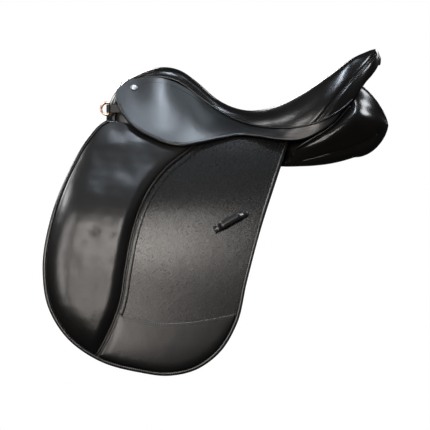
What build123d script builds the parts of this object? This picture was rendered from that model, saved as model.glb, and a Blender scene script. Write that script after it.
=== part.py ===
from build123d import *
import math
import os

# English dressage saddle, millimetres. +X is the horse's left, +Y the rear, +Z up.
# The origin is on the middle plane, level with the lowest line of the panels.
# Left pieces are modelled and the right ones are their mirror images.

os.makedirs("parts", exist_ok=True)

# --- driving dimensions ---------------------------------------------------------------
leather = 2.2            # seat, panel and facing leather
skirt_leather = 4.0      # skirt, leather on a lining
flap_leather = 5.0       # flap, two layers sewn together
billet_leather = 4.5
sweat_leather = 4.0
sweat_inset = 16.0
sweat_rise = 26.0        # above the flap's fold line
layer_gap = 1.5          # clear space between the hanging layers
contact_gap = 0.1        # between pieces that lie on each other
reach = 400.0            # long enough to cut through the whole saddle

# The flap bends round an axis along Y: its outer face passes through these (x, z).
flap_face_points = [(90, 75), (162, -90), (204, -380)]

# Layers under the flap, as offsets from its outer face.
flap_back = -flap_leather
billet_face = flap_back - layer_gap
billet_back = billet_face - billet_leather
sweat_face = billet_back - layer_gap
sweat_back = sweat_face - sweat_leather

# Pieces on the flap's outer face.
block_height = 16.0
block_clear = 26.0       # the block starts this far below the fold
binding_width = 5.5
binding_height = 1.3
patch_height = 1.6
welt_height = 4.0
welt_width = 5.0
keeper_gap = 6.0
keeper_leather = 2.4
keeper_length = 68.0
keeper_width = 14.0
keeper_foot = 8.0
keeper_centre = (-25.5, -102.0)
keeper_tilt = 29.0

# The flap folds about a line along Y on its outer face, at this height.
flap_hinge_z = 28.0

# The skirt lobe folds about this line, given as (y, z).
skirt_hinge_front = (-232.0, 112.0)
skirt_hinge_rear = (-22.0, 60.0)
fold_gap = 0.6

# Girth straps (billets).
billet_width = 28.0
billet_pivot_z = 12.0
billet_bottom = -285.0
billet_front_y = -150.0
billet_rear_y = -76.0
billet_hole_radius = 2.5
billet_hole_pitch = 25.0
billet_holes = 6
billet_top_margin = 10.0
girth_web_z = 42.0
girth_web_height = 30.0

# Stirrup bar, on the outer face of the tree's leg.
bar_centre_y = -92.0
bar_centre_z = 74.0
bar_plate_length = 80.0
bar_plate_width = 20.0
bar_plate = 3.0
bar_radius = 4.5
bar_rivet_radius = 2.5
bar_stand_off = 11.5
bar_length = 62.0
catch_length = 11.0
catch_width = 6.0
catch_thickness = 4.0
catch_pin_radius = 1.5

# Dee ring.
dee_wire = 1.6
dee_height = 21.0
dee_centre = (67.5, -246.0, 102.0)
dee_depth = 14.0
tab_thickness = 3.0
tab_height = 14.0
tab_bore = dee_wire + 0.25
tab_rear = -213.0

# Saddle nail on the skirt.
nail_radius = 6.5
nail_place = (-200.0, 139.0)

# Seat, front to rear: y, then z of the middle, x and z of the rim, x and z of the seam.
seat_stations = [
    (-224, 147, 18, 147, 40, 140),
    (-200, 161, 20, 161, 42, 151),
    (-172, 172, 22, 173, 43, 158),
    (-145, 177, 24, 177, 45, 157),
    (-115, 170, 27, 170, 48, 147),
    (-85, 148, 32, 149, 54, 124),
    (-50, 117, 38, 119, 65, 99),
    (0, 95, 56, 99, 88, 75),
    (50, 94, 76, 104, 112, 66),
    (100, 108, 90, 127, 130, 68),
    (150, 134, 94, 160, 134, 84),
    (200, 170, 76, 195, 112, 122),
    (228, 194, 50, 207, 78, 160),
    (242, 188, 28, 191, 44, 176),
]

# Under side of the seat foam, along the middle: (y, z).
foam_line = [(-226, 132), (-200, 143), (-145, 155), (-100, 140), (-50, 103), (0, 78), (50, 78),
             (100, 90), (150, 116), (200, 151), (240, 182)]

# Skirt, front to rear: y, x and z of the upper edge, x and z of the lower edge.
skirt_stations = [
    (-232, 48, 154, 131, 33),
    (-200, 48, 155, 131, 33),
    (-150, 49, 157, 130, 33),
    (-100, 54, 136, 128, 33),
    (-50, 68, 98, 128, 33),
    (0, 90, 74, 128, 36),
    (50, 114, 65, 130, 38),
    (100, 132, 67, 134, 38),
    (140, 136, 78, 138, 46),
    (178, 126, 102, 130, 88),
]

# Panel, front to rear: y, then the corners of its section (x, z).
panel_stations = [
    (-246, [(56, 40), (72, 50), (84, 30), (104, -24), (76, -18)]),
    (-225, [(52, 48), (74, 56), (86, 32), (112, -38), (72, -24)]),
    (-120, [(38, 54), (78, 56), (89, 32), (112, -30), (52, 0)]),
    (-50, [(34, 56), (80, 56), (90, 32), (104, -2), (36, 12)]),
    (66, [(34, 57), (80, 56), (91, 32), (104, 0), (36, 12)]),
    (92, [(34, 62), (96, 54), (118, 32), (108, 0), (37, 12)]),
    (125, [(34, 80), (110, 72), (132, 42), (112, 1), (38, 12)]),
    (160, [(34, 100), (110, 96), (138, 60), (112, 5), (40, 16)]),
    (200, [(34, 120), (98, 124), (132, 82), (106, 18), (43, 30)]),
    (236, [(42, 122), (80, 124), (112, 86), (90, 42), (50, 54)]),
    (257, [(56, 96), (76, 96), (88, 84), (78, 70), (60, 74)]),
]
panel_end_inset = 3.0

# Tree under the foam.
rail_drop = 5.0          # rail top below the foam line
rail_thickness = 12.0
rail_width = 22.0
web_thickness = 1.8
spring_thickness = 1.5
rail_line = [(-99.5, 36), (-50, 42), (0, 52), (50, 62), (100, 70), (148, 72)]   # (y, x) of a rail's middle
head_arch_front = -205.0
head_arch_rear = -100.0
head_thickness = 14.0
plate_thickness = 3.0
head_outline = [(26, 136), (68, 64)]     # (x, z) of a leg's outer face, at its top and at its foot
plate_low = 92.0
pocket_low = 60.0
pocket_high = 82.0
web_drop = 0.3
long_web = (24, 42, 30, 280)             # x, y, width and length of a straining web
wide_web = (20, 120, 60)                 # y, width and length of the cross web
cantle_plan_line = [(-88, 150), (-80, 178), (-48, 198), (0, 204), (48, 198), (80, 178), (88, 150)]

# Facings at the two ends: side lines (y, z) and outlines seen along Y (x, z).
head_front = [(-226, 151), (-238, 133), (-246, 116), (-252, 99)]
head_facing_outline = [(-60, 100), (-52, 130), (-34, 150), (34, 150), (52, 130), (60, 100),
                       (46, 100), (36, 118), (20, 124), (-20, 124), (-36, 118), (-46, 100)]
cantle_back = [(232, 171), (222, 158), (213, 141)]
cantle_facing_outline = [(-58, 142), (-46, 170), (46, 170), (58, 142)]


# --- helpers ----------------------------------------------------------------------------
def circle_through(first, second, third):
    """Centre and radius of the circle through three points."""
    (ax, ay), (bx, by), (cx, cy) = first, second, third
    spread = 2 * (ax * (by - cy) + bx * (cy - ay) + cx * (ay - by))
    aa = ax * ax + ay * ay
    bb = bx * bx + by * by
    cc = cx * cx + cy * cy
    x = (aa * (by - cy) + bb * (cy - ay) + cc * (ay - by)) / spread
    y = (aa * (cx - bx) + bb * (ax - cx) + cc * (bx - ax)) / spread
    return (x, y), math.hypot(ax - x, ay - y)


flap_axis, flap_radius = circle_through(*flap_face_points)


def flap_x(z, offset_out=0.0):
    """x of the flap's outer face, or of a layer beside it, at height z."""
    radius = flap_radius + offset_out
    return flap_axis[0] + math.sqrt(radius ** 2 - (z - flap_axis[1]) ** 2)


def write_piece(piece, label):
    piece.part.label = label
    export_step(piece.part, f"parts/{label}.step")


def write_pair(left_piece, label):
    """Write the left piece and its mirror image on the right."""
    with BuildPart() as right_piece:
        mirror(left_piece.part, about=Plane.YZ)
    write_piece(left_piece, f"left_{label}")
    write_piece(right_piece, f"right_{label}")


def write_both_sides(left_piece, label):
    """Write the left piece and its mirror image as one group of separate solids."""
    with BuildPart() as group:
        add(left_piece.part)
        mirror(left_piece.part, about=Plane.YZ)
    write_piece(group, label)


def layer(outline, inner, outer):
    """A hanging layer: the band between two offsets of the flap's face, cut to a side outline."""
    with BuildPart() as piece:
        with BuildSketch(Plane.XZ):
            with Locations(flap_axis):
                Circle(flap_radius + outer)
                Circle(flap_radius + inner, mode=Mode.SUBTRACT)
        extrude(amount=reach, both=True)
        extrude(outline, amount=reach, mode=Mode.INTERSECT)
    return piece


def side_band(line, top, bottom, half_width):
    """A slab across the saddle between two drops below a side line of (y, z) points."""
    with BuildPart() as band:
        with BuildSketch(Plane.YZ):
            with BuildLine():
                Spline([(y, z - top) for y, z in line])
                Line((line[-1][0], line[-1][1] - top), (line[-1][0], line[-1][1] - bottom))
                Spline([(y, z - bottom) for y, z in reversed(line)])
                Line((line[0][0], line[0][1] - bottom), (line[0][0], line[0][1] - top))
            make_face()
        extrude(amount=half_width, both=True)
    return band


# --- side outlines ----------------------------------------------------------------------
flap_edge = [(-246, 82), (-258, 75), (-283, 47), (-317, -14), (-348, -97), (-362, -189), (-352, -255),
             (-320, -308), (-262, -350), (-189, -371), (-139, -377), (-88, -366), (-45, -334),
             (-16, -285), (2, -210), (27, -115), (56, -24), (79, 46)]
flap_top_mid = (-80, 56)


def moved_in(points, inset):
    """An edge line moved to its left by inset, point by point."""
    moved = []
    for number, (y, z) in enumerate(points):
        before = points[max(number - 1, 0)]
        after = points[min(number + 1, len(points) - 1)]
        run_y = after[0] - before[0]
        run_z = after[1] - before[1]
        length = math.hypot(run_y, run_z)
        moved.append((y - inset * run_z / length, z + inset * run_y / length))
    return moved


def flap_outline(inset=0.0):
    """Whole flap seen from its side, with its edge moved in by inset."""
    edge = moved_in(flap_edge, inset)
    with BuildSketch(Plane.YZ) as outline:
        with BuildLine():
            Spline(edge)
            Polyline(edge[-1], (flap_top_mid[0], flap_top_mid[1] - inset), edge[0])
        make_face()
    return outline.sketch


welt_line = [(-62, 62), (-99, 28), (-144, -9), (-171, -45), (-190, -84), (-205, -135), (-215, -190),
             (-225, -250), (-247, -306), (-288, -372)]
patch_line = [(-262, -262), (-207, -274), (-153, -283), (-99, -281), (-54, -274), (40, -250)]


def below_hinge(gap):
    """Everything more than gap below the flap's fold line."""
    with BuildSketch(Plane.YZ) as half:
        with Locations((0, flap_hinge_z - gap - reach)):
            Rectangle(3 * reach, 2 * reach)
    return half.sketch


def ahead_of_welt(shift):
    """Everything in front of the curved welt, moved forward by shift."""
    line = [(y - shift, z) for y, z in welt_line]
    with BuildSketch(Plane.YZ) as half:
        with BuildLine():
            Spline(line)
            Polyline(line[-1], (line[-1][0], -reach), (-reach, -reach), (-reach, line[0][1]), line[0])
        make_face()
    return half.sketch


def below_patch_seam():
    """Everything below the wear patch's seam."""
    with BuildSketch(Plane.YZ) as half:
        with BuildLine():
            Spline(patch_line)
            Polyline(patch_line[-1], (patch_line[-1][0], -reach), (patch_line[0][0], -reach), patch_line[0])
        make_face()
    return half.sketch


# --- flap -------------------------------------------------------------------------------
moving_outline = flap_outline() & below_hinge(fold_gap)
static_outline = flap_outline() - below_hinge(-fold_gap)
bound_outline = flap_outline(binding_width)
block_outline = bound_outline & below_hinge(block_clear) & ahead_of_welt(welt_width / 2)

write_pair(layer(moving_outline, flap_back, 0), "flap")
write_pair(layer(static_outline, flap_back, 0), "flap_top")

with BuildPart() as flap_binding:
    add(layer(moving_outline, contact_gap, binding_height).part)
    add(layer(bound_outline, 0, block_height).part, mode=Mode.SUBTRACT)
write_pair(flap_binding, "flap_binding")

core_outline = (flap_outline(binding_width + leather) & below_hinge(block_clear + leather)
                & ahead_of_welt(welt_width / 2 + leather))
block_core = layer(core_outline, contact_gap, block_height - leather)
write_pair(block_core, "block_core")

with BuildPart() as block_cover:
    add(layer(block_outline, contact_gap, block_height).part)
    add(layer(core_outline, 0, block_height - leather + contact_gap).part, mode=Mode.SUBTRACT)
write_pair(block_cover, "block_cover")

welt_outline = (ahead_of_welt(-welt_width / 2 + contact_gap) - ahead_of_welt(welt_width / 2 - contact_gap))
welt_outline = welt_outline & bound_outline & below_hinge(block_clear)
write_pair(layer(welt_outline, contact_gap, welt_height), "flap_welt")

patch_outline = (bound_outline & below_patch_seam()) - ahead_of_welt(-welt_width / 2 - contact_gap)
write_pair(layer(patch_outline, contact_gap, patch_height), "wear_patch")


def keeper_strip(length, width):
    """Side outline of the slanted keeper."""
    with BuildSketch(Plane.YZ) as strip:
        with Locations(Location((keeper_centre[0], keeper_centre[1], 0), (0, 0, keeper_tilt))):
            Rectangle(length, width)
    return strip.sketch


with BuildPart() as keeper:
    add(layer(keeper_strip(keeper_length, keeper_width), contact_gap, keeper_gap + keeper_leather).part)
    add(layer(keeper_strip(keeper_length - 2 * keeper_foot, 2 * keeper_width), 0, keeper_gap).part,
        mode=Mode.SUBTRACT)
write_pair(keeper, "keeper")

# --- billets and sweat flap ------------------------------------------------------------


def billet(centre_y):
    """One girth strap with rounded ends and a row of punched holes."""
    top = billet_pivot_z + billet_top_margin
    length = top - billet_bottom
    with BuildSketch(Plane.YZ) as outline:
        with Locations((centre_y, top - length / 2)):
            RectangleRounded(billet_width, length, billet_width / 2 - 1)
    piece = layer(outline.sketch, billet_back, billet_face)
    for number in range(billet_holes):
        z = billet_bottom + billet_width + number * billet_hole_pitch
        angle = math.degrees(math.asin((z - flap_axis[1]) / flap_radius))
        with BuildPart() as punch:
            with BuildSketch(Plane(origin=(flap_x(z, -8), centre_y, z), x_dir=(0, 1, 0),
                                   z_dir=(math.cos(math.radians(angle)), 0, math.sin(math.radians(angle))))):
                Circle(billet_hole_radius)
            extrude(amount=10, both=True)
        with piece:
            add(punch.part, mode=Mode.SUBTRACT)
    return piece


write_pair(billet(billet_front_y), "front_billet")
write_pair(billet(billet_rear_y), "rear_billet")

with BuildSketch(Plane.YZ) as web_outline:
    with Locations(((billet_front_y + billet_rear_y) / 2, girth_web_z)):
        RectangleRounded(billet_rear_y - billet_front_y + billet_width, girth_web_height, 4)
write_pair(layer(web_outline.sketch, billet_back, billet_face), "girth_web")

sweat_outline = flap_outline(sweat_inset) & below_hinge(-sweat_rise)
write_pair(layer(sweat_outline, sweat_back, sweat_face), "sweat_flap")

# --- seat -------------------------------------------------------------------------------
seat_welt_radius = 1.6
seat_welt_out = 3.5      # welt beside and above the seam
seat_welt_up = 2.2
seat_rim_drop = 3.0
seat_cut_drop = 40.0     # how far cutting bodies reach below the seam
foam_drop = 30.0
foam_room = 128.0        # height above the foam line that holds the whole seat


def seat_block(inset, skirt_drop=0.0, end_inset=0.0):
    """Body of the seat above its seam, moved in by inset."""
    with BuildPart() as block:
        last = len(seat_stations) - 1
        for number, (y, mid_z, rim_x, rim_z, seam_x, seam_z) in enumerate(seat_stations):
            if number == 0:
                y += end_inset
            if number == last:
                y -= end_inset
            side_x = seam_x - inset
            low_z = seam_z - skirt_drop
            with BuildSketch(Plane.XZ.offset(-y)):
                with BuildLine():
                    Spline((-side_x, seam_z), (-rim_x, rim_z - inset), (0, mid_z - inset),
                           (rim_x, rim_z - inset), (side_x, seam_z))
                    Polyline((side_x, seam_z), (side_x, low_z), (-side_x, low_z), (-side_x, seam_z))
                make_face()
        loft(ruled=True)
    return block


with BuildPart() as seat_cover:
    add(seat_block(0, skirt_drop=seat_rim_drop).part)
    add(seat_block(leather, skirt_drop=seat_cut_drop, end_inset=leather).part, mode=Mode.SUBTRACT)
write_piece(seat_cover, "seat_cover")

with BuildPart() as seat_foam:
    add(seat_block(leather + contact_gap, skirt_drop=foam_drop, end_inset=leather + contact_gap).part)
    add(side_band(foam_line, 0, -foam_room, reach).part, mode=Mode.INTERSECT)
write_piece(seat_foam, "seat_foam")

with BuildPart() as seat_welt:
    for station, following in zip(seat_stations[2:11], seat_stations[3:12]):
        start = Vector(station[4] + seat_welt_out, station[0], station[5] + seat_welt_up)
        end = Vector(following[4] + seat_welt_out, following[0], following[5] + seat_welt_up)
        with BuildSketch(Plane(origin=start, z_dir=end - start)):
            Circle(seat_welt_radius)
        extrude(amount=(end - start).length)
        with Locations(start):
            Sphere(seat_welt_radius)
write_both_sides(seat_welt, "seat_welt")

# --- skirt ------------------------------------------------------------------------------
skirt_bottom = [(-232, 142), (-232, 118), (-224, 96), (-203, 70), (-168, 50), (-140, 39), (-115, 35),
                (-86, 39), (-62, 44), (-38, 49), (-9, 54), (22, 52), (58, 46), (99, 45), (122, 53),
                (145, 66), (162, 80), (173, 96), (177, 104)]


def skirt_sheet():
    """The skirt as one sheet from the head to the back of the seat."""
    with BuildPart() as sheet:
        for y, top_x, top_z, low_x, low_z in skirt_stations:
            run = Vector(low_x - top_x, low_z - top_z)
            inward = Vector(run.Y, -run.X).normalized() * skirt_leather
            with BuildSketch(Plane.XZ.offset(-y)):
                with BuildLine():
                    Polyline((top_x, top_z), (low_x, low_z), (low_x + inward.X, low_z + inward.Y),
                             (top_x + inward.X, top_z + inward.Y), close=True)
                make_face()
        loft(ruled=True)
        with BuildSketch(Plane.YZ):
            with BuildLine():
                Spline(skirt_bottom)
                Polyline(skirt_bottom[-1], (skirt_bottom[-1][0], reach), (skirt_bottom[0][0], reach),
                         skirt_bottom[0])
            make_face()
        extrude(amount=reach, mode=Mode.INTERSECT)
        add(seat_block(0, skirt_drop=seat_cut_drop).part, mode=Mode.SUBTRACT)
    return sheet


def skirt_side(shift, above):
    """Side region above or below the skirt's fold line, moved by shift, ahead of the fold's end."""
    (front_y, front_z), (rear_y, rear_z) = skirt_hinge_front, skirt_hinge_rear
    slope = (rear_z - front_z) / (rear_y - front_y)
    far = reach if above else -reach
    with BuildSketch(Plane.YZ) as region:
        with BuildLine():
            Polyline((-reach, front_z + shift + slope * (-reach - front_y)),
                     (rear_y, rear_z + shift), (rear_y, far), (-reach, far), close=True)
        make_face()
    return region.sketch


whole_skirt = skirt_sheet()
with BuildPart() as skirt_lobe:
    add(whole_skirt.part)
    extrude(skirt_side(-fold_gap, above=False), amount=reach, mode=Mode.INTERSECT)
write_pair(skirt_lobe, "skirt_lobe")

with BuildPart() as skirt_upper:
    add(whole_skirt.part)
    extrude(skirt_side(fold_gap, above=False), amount=reach, mode=Mode.SUBTRACT)
write_pair(skirt_upper, "skirt_upper")

# --- panels -----------------------------------------------------------------------------


def panel_block(inset):
    """One stuffed panel, moved in by inset all round."""
    with BuildPart() as block:
        last = len(panel_stations) - 1
        for number, (y, corners) in enumerate(panel_stations):
            if inset and number == 0:
                y += panel_end_inset
            if inset and number == last:
                y -= panel_end_inset
            with BuildSketch(Plane.XZ.offset(-y)):
                with BuildLine():
                    Polyline(*corners, close=True)
                make_face()
                if inset:
                    offset(amount=-inset, kind=Kind.INTERSECTION)
        loft(ruled=True)
    return block


panel_body = panel_block(0)
flocking = panel_block(leather + contact_gap)
with BuildPart() as panel_cover:
    add(panel_body.part)
    add(panel_block(leather).part, mode=Mode.SUBTRACT)
write_pair(panel_cover, "panel_cover")
write_pair(flocking, "flocking")

# --- tree -------------------------------------------------------------------------------


def arch_sketch(outside):
    """Solid section of the head arch with its legs drawn on downwards, grown by outside."""
    (top_x, top_z), (foot_x, foot_z) = head_outline
    low_z = foot_z - reach / 4
    low_x = foot_x + (foot_x - top_x) * (foot_z - low_z) / (top_z - foot_z)
    with BuildSketch(Plane.XZ) as section:
        with BuildLine():
            Polyline((-low_x, low_z), (-top_x, top_z), (top_x, top_z), (low_x, low_z), close=True)
        make_face()
        if outside:
            offset(amount=outside, kind=Kind.INTERSECTION)
    return section.sketch


def arch_band(outer, inner, front, rear, lowest, highest=reach):
    """An arch over the withers between two offsets of the head's outline, cut to two heights."""
    with BuildPart() as arch:
        extrude(arch_sketch(outer), amount=reach, both=True)
        extrude(arch_sketch(inner), amount=reach, both=True, mode=Mode.SUBTRACT)
        with Locations((0, (front + rear) / 2, (lowest + highest) / 2)):
            Box(reach, rear - front, highest - lowest, mode=Mode.INTERSECT)
    return arch


tree_head = arch_band(0, -head_thickness, head_arch_front, head_arch_rear, head_outline[1][1])
write_piece(tree_head, "tree_head")
gullet_plate = arch_band(-head_thickness - contact_gap, -head_thickness - plate_thickness,
                         head_arch_front + 8, head_arch_rear - 30, plate_low)
write_piece(gullet_plate, "gullet_plate")
head_plate = arch_band(plate_thickness, contact_gap, head_arch_front + 6, head_arch_rear - 46, plate_low + 8)
write_piece(head_plate, "head_plate")
with BuildPart() as point_pocket:
    add(arch_band(2 * contact_gap + leather, 2 * contact_gap, head_arch_front + 7, head_arch_rear - 40,
                  pocket_low, pocket_high).part)
    split(bisect_by=Plane.YZ, keep=Keep.TOP)
write_pair(point_pocket, "point_pocket")


def plan_strip(line, width):
    """A strip of a width about a plan line of (y, x) points, tall enough to cut with."""
    with BuildPart() as strip:
        with BuildSketch(Plane.XY):
            with BuildLine():
                Spline([(x + width / 2, y) for y, x in line])
                Line((line[-1][1] + width / 2, line[-1][0]), (line[-1][1] - width / 2, line[-1][0]))
                Spline([(x - width / 2, y) for y, x in reversed(line)])
                Line((line[0][1] - width / 2, line[0][0]), (line[0][1] + width / 2, line[0][0]))
            make_face()
        extrude(amount=reach)
    return strip


def under_foam(drop, thickness, plan):
    """A piece of a thickness that follows the foam's under side at a drop, cut to a plan solid."""
    with BuildPart() as piece:
        add(side_band(foam_line, drop, drop + thickness, reach).part)
        add(plan.part, mode=Mode.INTERSECT)
    return piece


tree_rail = under_foam(rail_drop, rail_thickness, plan_strip(rail_line, rail_width))
write_pair(tree_rail, "tree_rail")
tree_spring = under_foam(rail_drop + rail_thickness + contact_gap, spring_thickness,
                         plan_strip(rail_line, rail_width / 2))
write_both_sides(tree_spring, "tree_springs")

with BuildPart() as cantle_plan:
    with BuildSketch(Plane.XY):
        with BuildLine():
            Spline(cantle_plan_line)
            Line(cantle_plan_line[-1], cantle_plan_line[0])
        make_face()
    extrude(amount=reach)
cantle_board = under_foam(web_drop + web_thickness + 2 * contact_gap, head_thickness, cantle_plan)
write_piece(cantle_board, "cantle_board")

long_web_x, long_web_y, long_web_width, long_web_length = long_web
with BuildPart() as long_web_plan:
    with Locations((long_web_x, long_web_y, reach / 2)):
        Box(long_web_width, long_web_length, reach)
write_both_sides(under_foam(web_drop, web_thickness, long_web_plan), "straining_webs")
wide_web_y, wide_web_width, wide_web_length = wide_web
with BuildPart() as cross_web_plan:
    with Locations((0, wide_web_y, reach / 2)):
        Box(wide_web_width, wide_web_length, reach)
cross_web = under_foam(web_drop + web_thickness + contact_gap, web_thickness, cross_web_plan)
write_piece(cross_web, "cross_web")

# --- stirrup bars -----------------------------------------------------------------------
(leg_top_x, leg_top_z), (leg_foot_x, leg_foot_z) = head_outline
leg_run = Vector(leg_foot_x - leg_top_x, 0, leg_foot_z - leg_top_z).normalized()
leg_out = Vector(-leg_run.Z, 0, leg_run.X)
bar_centre_x = leg_foot_x + (bar_centre_z - leg_foot_z) * leg_run.X / leg_run.Z
bar_centre = Vector(bar_centre_x, bar_centre_y, bar_centre_z) + leg_out * contact_gap
bar_plane = Plane(origin=bar_centre, x_dir=(0, 1, 0), z_dir=leg_out)
bar_rivet_places = [(-0.43 * bar_plate_length, 0), (-0.16 * bar_plate_length, 0)]
catch_pivot_x = bar_plate_length / 2 - 6
catch_plane = Plane(origin=bar_plane.from_local_coords((catch_pivot_x, 0, bar_plate + 5)),
                    x_dir=(0, 1, 0), z_dir=-leg_run)

with BuildPart() as stirrup_bar:
    with BuildSketch(bar_plane):
        RectangleRounded(bar_plate_length, bar_plate_width, 4)
        with Locations(*bar_rivet_places):
            Circle(bar_rivet_radius + 0.1, mode=Mode.SUBTRACT)
    extrude(amount=bar_plate)
    bar_front = -bar_length / 2 + 8
    with BuildSketch(bar_plane.offset(bar_plate)):
        with Locations((bar_front, 0)):
            Circle(bar_radius)
    extrude(amount=bar_stand_off - bar_plate)
    with BuildSketch(Plane(origin=bar_plane.from_local_coords((bar_front, 0, bar_stand_off)),
                           z_dir=(0, 1, 0))):
        Circle(bar_radius)
    extrude(amount=bar_length - 12)
    with BuildSketch(Plane(origin=bar_plane.from_local_coords((bar_front, 0, bar_stand_off)),
                           z_dir=(0, -1, 0))):
        Circle(bar_radius)
    extrude(amount=3)
    for side in (-1, 1):
        with BuildSketch(catch_plane.offset(side * (catch_thickness / 2 + 1.5) - 1.2)):
            with Locations((0, 1)):
                RectangleRounded(7, 9, 2)
            Circle(catch_pin_radius + 0.02, mode=Mode.SUBTRACT)
        extrude(amount=2.4)
write_pair(stirrup_bar, "stirrup_bar")

with BuildPart() as bar_rivets:
    with BuildSketch(bar_plane):
        with Locations(*bar_rivet_places):
            Circle(bar_rivet_radius)
    extrude(amount=bar_plate)
    with BuildSketch(bar_plane.offset(bar_plate + contact_gap / 2)):
        with Locations(*bar_rivet_places):
            Circle(bar_rivet_radius * 1.7)
    extrude(amount=2)
    with BuildSketch(bar_plane.offset(bar_plate)):
        with Locations(*bar_rivet_places):
            Circle(bar_rivet_radius)
    extrude(amount=1)
write_both_sides(bar_rivets, "bar_rivets")

with BuildPart() as catch_pins:
    with BuildSketch(catch_plane.offset(-catch_thickness / 2 - 2.7)):
        Circle(catch_pin_radius)
    extrude(amount=catch_thickness + 5.4)
write_both_sides(catch_pins, "catch_pins")

with BuildPart() as bar_catch:
    with BuildSketch(catch_plane.offset(-catch_thickness / 2)):
        with Locations(((catch_length - catch_width) / 2, 0)):
            SlotOverall(catch_length, catch_width)
        Circle(catch_pin_radius + 0.15, mode=Mode.SUBTRACT)
    extrude(amount=catch_thickness)
write_pair(bar_catch, "bar_catch")

# --- dee rings and their tabs -----------------------------------------------------------
dee_x, dee_y, dee_z = dee_centre
with BuildPart() as dee_ring:
    with BuildLine(Plane.YZ.offset(dee_x)) as bow:
        ThreePointArc((dee_y, dee_z + dee_height / 2), (dee_y - dee_depth, dee_z),
                      (dee_y, dee_z - dee_height / 2))
    with BuildSketch(Plane(origin=bow.line @ 0, z_dir=bow.line % 0)):
        Circle(dee_wire)
    sweep()
    with BuildSketch(Plane(origin=(dee_x, dee_y, dee_z - dee_height / 2), z_dir=(0, 0, 1))):
        Circle(dee_wire)
    extrude(amount=dee_height)
    for end in (-1, 1):
        with Locations((dee_x, dee_y, dee_z + end * dee_height / 2)):
            Sphere(dee_wire)
write_pair(dee_ring, "dee_ring")

with BuildPart() as dee_tab:
    with BuildSketch(Plane.XY.offset(dee_z - tab_height / 2)):
        with Locations((dee_x, dee_y)):
            Circle(tab_bore + 2)
        with Locations((dee_x, (dee_y + tab_rear) / 2)):
            Rectangle(tab_thickness, tab_rear - dee_y)
        with Locations((dee_x, dee_y)):
            Circle(tab_bore, mode=Mode.SUBTRACT)
    extrude(amount=tab_height)
write_pair(dee_tab, "dee_tab")

# --- facings and nails ------------------------------------------------------------------


def end_facing(side_line, thickness, outline):
    """A sheet behind a side line of (y, z) points, cut to an outline seen along Y."""
    with BuildSketch(Plane.XZ) as section:
        with BuildLine():
            Polyline(*outline, close=True)
        make_face()
    with BuildPart() as sheet:
        with BuildSketch(Plane.YZ):
            with BuildLine():
                Polyline(*side_line, *[(y + thickness, z) for y, z in reversed(side_line)], close=True)
            make_face()
        extrude(amount=reach, both=True)
        extrude(section.sketch, amount=reach, both=True, mode=Mode.INTERSECT)
    return sheet


write_piece(end_facing(head_front, leather, head_facing_outline), "head_facing")
write_piece(end_facing(cantle_back, -leather, cantle_facing_outline), "cantle_facing")

nail_y, nail_z = nail_place
_, nail_top_x, nail_top_z, nail_low_x, nail_low_z = skirt_stations[1]
skirt_run = Vector(nail_low_x - nail_top_x, 0, nail_low_z - nail_top_z).normalized()
skirt_out = Vector(-skirt_run.Z, 0, skirt_run.X)
nail_x = nail_top_x + (nail_top_z - nail_z) * skirt_run.X / -skirt_run.Z
with BuildPart() as saddle_nail:
    with BuildSketch(Plane(origin=Vector(nail_x, nail_y, nail_z) + skirt_out * 5 * contact_gap,
                           z_dir=skirt_out)):
        Circle(nail_radius)
    extrude(amount=2.8)
    fillet(saddle_nail.faces().sort_by(Axis(origin=(0, 0, 0), direction=tuple(skirt_out)))[-1].edges(),
           radius=2.4)
write_both_sides(saddle_nail, "saddle_nails")
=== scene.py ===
import math

import bpy
import numpy as np
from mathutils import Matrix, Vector
from mathutils.bvhtree import BVHTree
from mathutils.geometry import delaunay_2d_cdt


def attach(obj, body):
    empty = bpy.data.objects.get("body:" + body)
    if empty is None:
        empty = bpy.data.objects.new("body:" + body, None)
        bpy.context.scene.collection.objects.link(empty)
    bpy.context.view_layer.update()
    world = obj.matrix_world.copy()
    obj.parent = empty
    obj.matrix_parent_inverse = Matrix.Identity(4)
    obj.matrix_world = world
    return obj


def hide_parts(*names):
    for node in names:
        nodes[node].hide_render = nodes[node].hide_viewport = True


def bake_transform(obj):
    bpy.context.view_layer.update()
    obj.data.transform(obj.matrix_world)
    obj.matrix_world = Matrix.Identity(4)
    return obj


# English dressage saddle. Lengths below are millimetres in the frame's axes; meshes are made in metres.
# Left pieces are built, and side -1 mirrors them to the saddle's right.

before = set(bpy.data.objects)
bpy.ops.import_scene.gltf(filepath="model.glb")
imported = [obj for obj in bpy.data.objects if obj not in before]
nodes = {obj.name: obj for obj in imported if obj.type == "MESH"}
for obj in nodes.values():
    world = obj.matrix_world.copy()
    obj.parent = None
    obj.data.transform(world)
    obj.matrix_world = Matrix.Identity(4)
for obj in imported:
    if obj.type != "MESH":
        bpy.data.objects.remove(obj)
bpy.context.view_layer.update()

MM = 0.001
SIDES = (("left", 1), ("right", -1))

# --- driving dimensions ---
FLAP_FACE = [(90, 75), (162, -90), (204, -380)]  # (x, z) on the flap's outer face
FLAP_LEATHER = 5.0
FLAP_ROUND = 2.2  # radius of the leather's cut edge
FLAP_CROWN = 4.0  # the front of the flap stands out this far more
FLAP_CROWN_FROM, FLAP_CROWN_TO = -190, 70  # y from which this fades, and where it is gone
FLAP_CROWN_DEPTH = (-10, 90)  # it grows between these depths below the origin
BILLET_FACE = -6.5
SWEAT_FACE = -12.5
BLOCK_HEIGHT = 16.0
BLOCK_FRONT_RISE = 46.0
BLOCK_REAR_RISE = 20.0
BLOCK_SHOULDER = (-115, 34)  # z over which the block thins towards its top
BLOCK_SHOULDER_HEIGHT = 0.30  # share of its height that is left there
BLOCK_TOP = (34, 66)  # z over which it fades under the skirt
BLOCK_FOOT = (-372, -250)  # z over which it fills out from its foot
BLOCK_DIMPLE = (-274, -121)
BLOCK_CREASE = (-292, -225)
BINDING_WIDTH = 5.5
BINDING_HEIGHT = 1.5
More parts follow.
